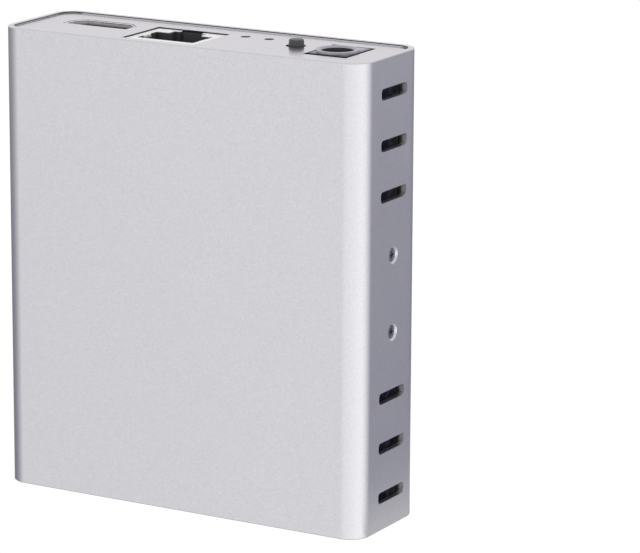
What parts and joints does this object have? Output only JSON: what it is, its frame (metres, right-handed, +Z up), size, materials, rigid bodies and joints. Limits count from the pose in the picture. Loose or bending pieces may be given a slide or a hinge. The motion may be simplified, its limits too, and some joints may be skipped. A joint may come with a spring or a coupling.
{
  "type": "kvm extender",
  "caption": "Upright signal extender box: an extruded aluminium sleeve around a sheet tray and circuit board, with sockets, lamps and a push button in its end panel.",
  "frame": {"origin": "middle of the lower rim, where the box stands", "axes": "+X to the right along the width, +Y towards the rear wall, +Z up to the end panel with the sockets"},
  "size_m": [0.082, 0.0238, 0.0945],
  "materials": {
    "anodised_aluminium": "bead-blasted and clear anodised, with a bright machined rim",
    "panel_steel": "satin plated folded sheet",
    "board_laminate": "dark blue solder resist",
    "nickel_steel": "nickel plated",
    "tinned_steel": "bright tin plated sheet",
    "gold_contact": "gold flashed",
    "black_moulding": "moulded black",
    "grey_moulding": "moulded grey",
    "white_moulding": "moulded white",
    "lamp_resin": "cloudy resin",
    "button_moulding": "moulded dark grey",
    "chip_epoxy": "fine matt epoxy",
    "pad_silicone": "soft heat pad",
    "sink_aluminium": "plain extruded",
    "ferrite": "sintered dark grey",
    "ceramic_body": "fired tan"
  },
  "bodies": {
    "case": {"outer_sleeve": "anodised_aluminium", "chassis_tray": "panel_steel", "circuit_board": "board_laminate", "board_standoffs": "nickel_steel", "board_screws": "nickel_steel", "side_screws": "nickel_steel", "network_jack_shield": "tinned_steel", "network_jack_housing": "black_moulding", "network_jack_contacts": "gold_contact", "video_socket_shell": "tinned_steel", "video_socket_tongue": "black_moulding", "video_socket_contacts": "gold_contact", "power_jack_body": "grey_moulding", "power_jack_pin": "nickel_steel", "power_jack_spring": "nickel_steel", "power_lamp": "lamp_resin", "link_lamp": "lamp_resin", "switch_body": "black_moulding", "switch_cover": "nickel_steel", "switch_dome": "nickel_steel", "host_port_shell": "tinned_steel", "host_port_insert": "white_moulding", "host_port_contacts": "gold_contact", "video_receiver_chip": "chip_epoxy", "network_chip": "chip_epoxy", "memory_chip": "chip_epoxy", "flash_chip": "chip_epoxy", "host_chip": "chip_epoxy", "main_chip": "chip_epoxy", "thermal_pad": "pad_silicone", "heat_sink": "sink_aluminium", "network_transformer": "chip_epoxy", "can_capacitors": "sink_aluminium", "power_coil": "ferrite", "crystals": "nickel_steel", "regulator_chips": "chip_epoxy", "ceramic_capacitors": "ceramic_body", "power_diode": "chip_epoxy"},
    "button": {"push_button": "button_moulding"}
  },
  "joints": [
    {"name": "button_press", "type": "slide", "parent": "case", "child": "button", "axis": [0, 0, -1], "range_m": [0, 0.00025], "stiffness_N_per_m": 400}
  ]
}
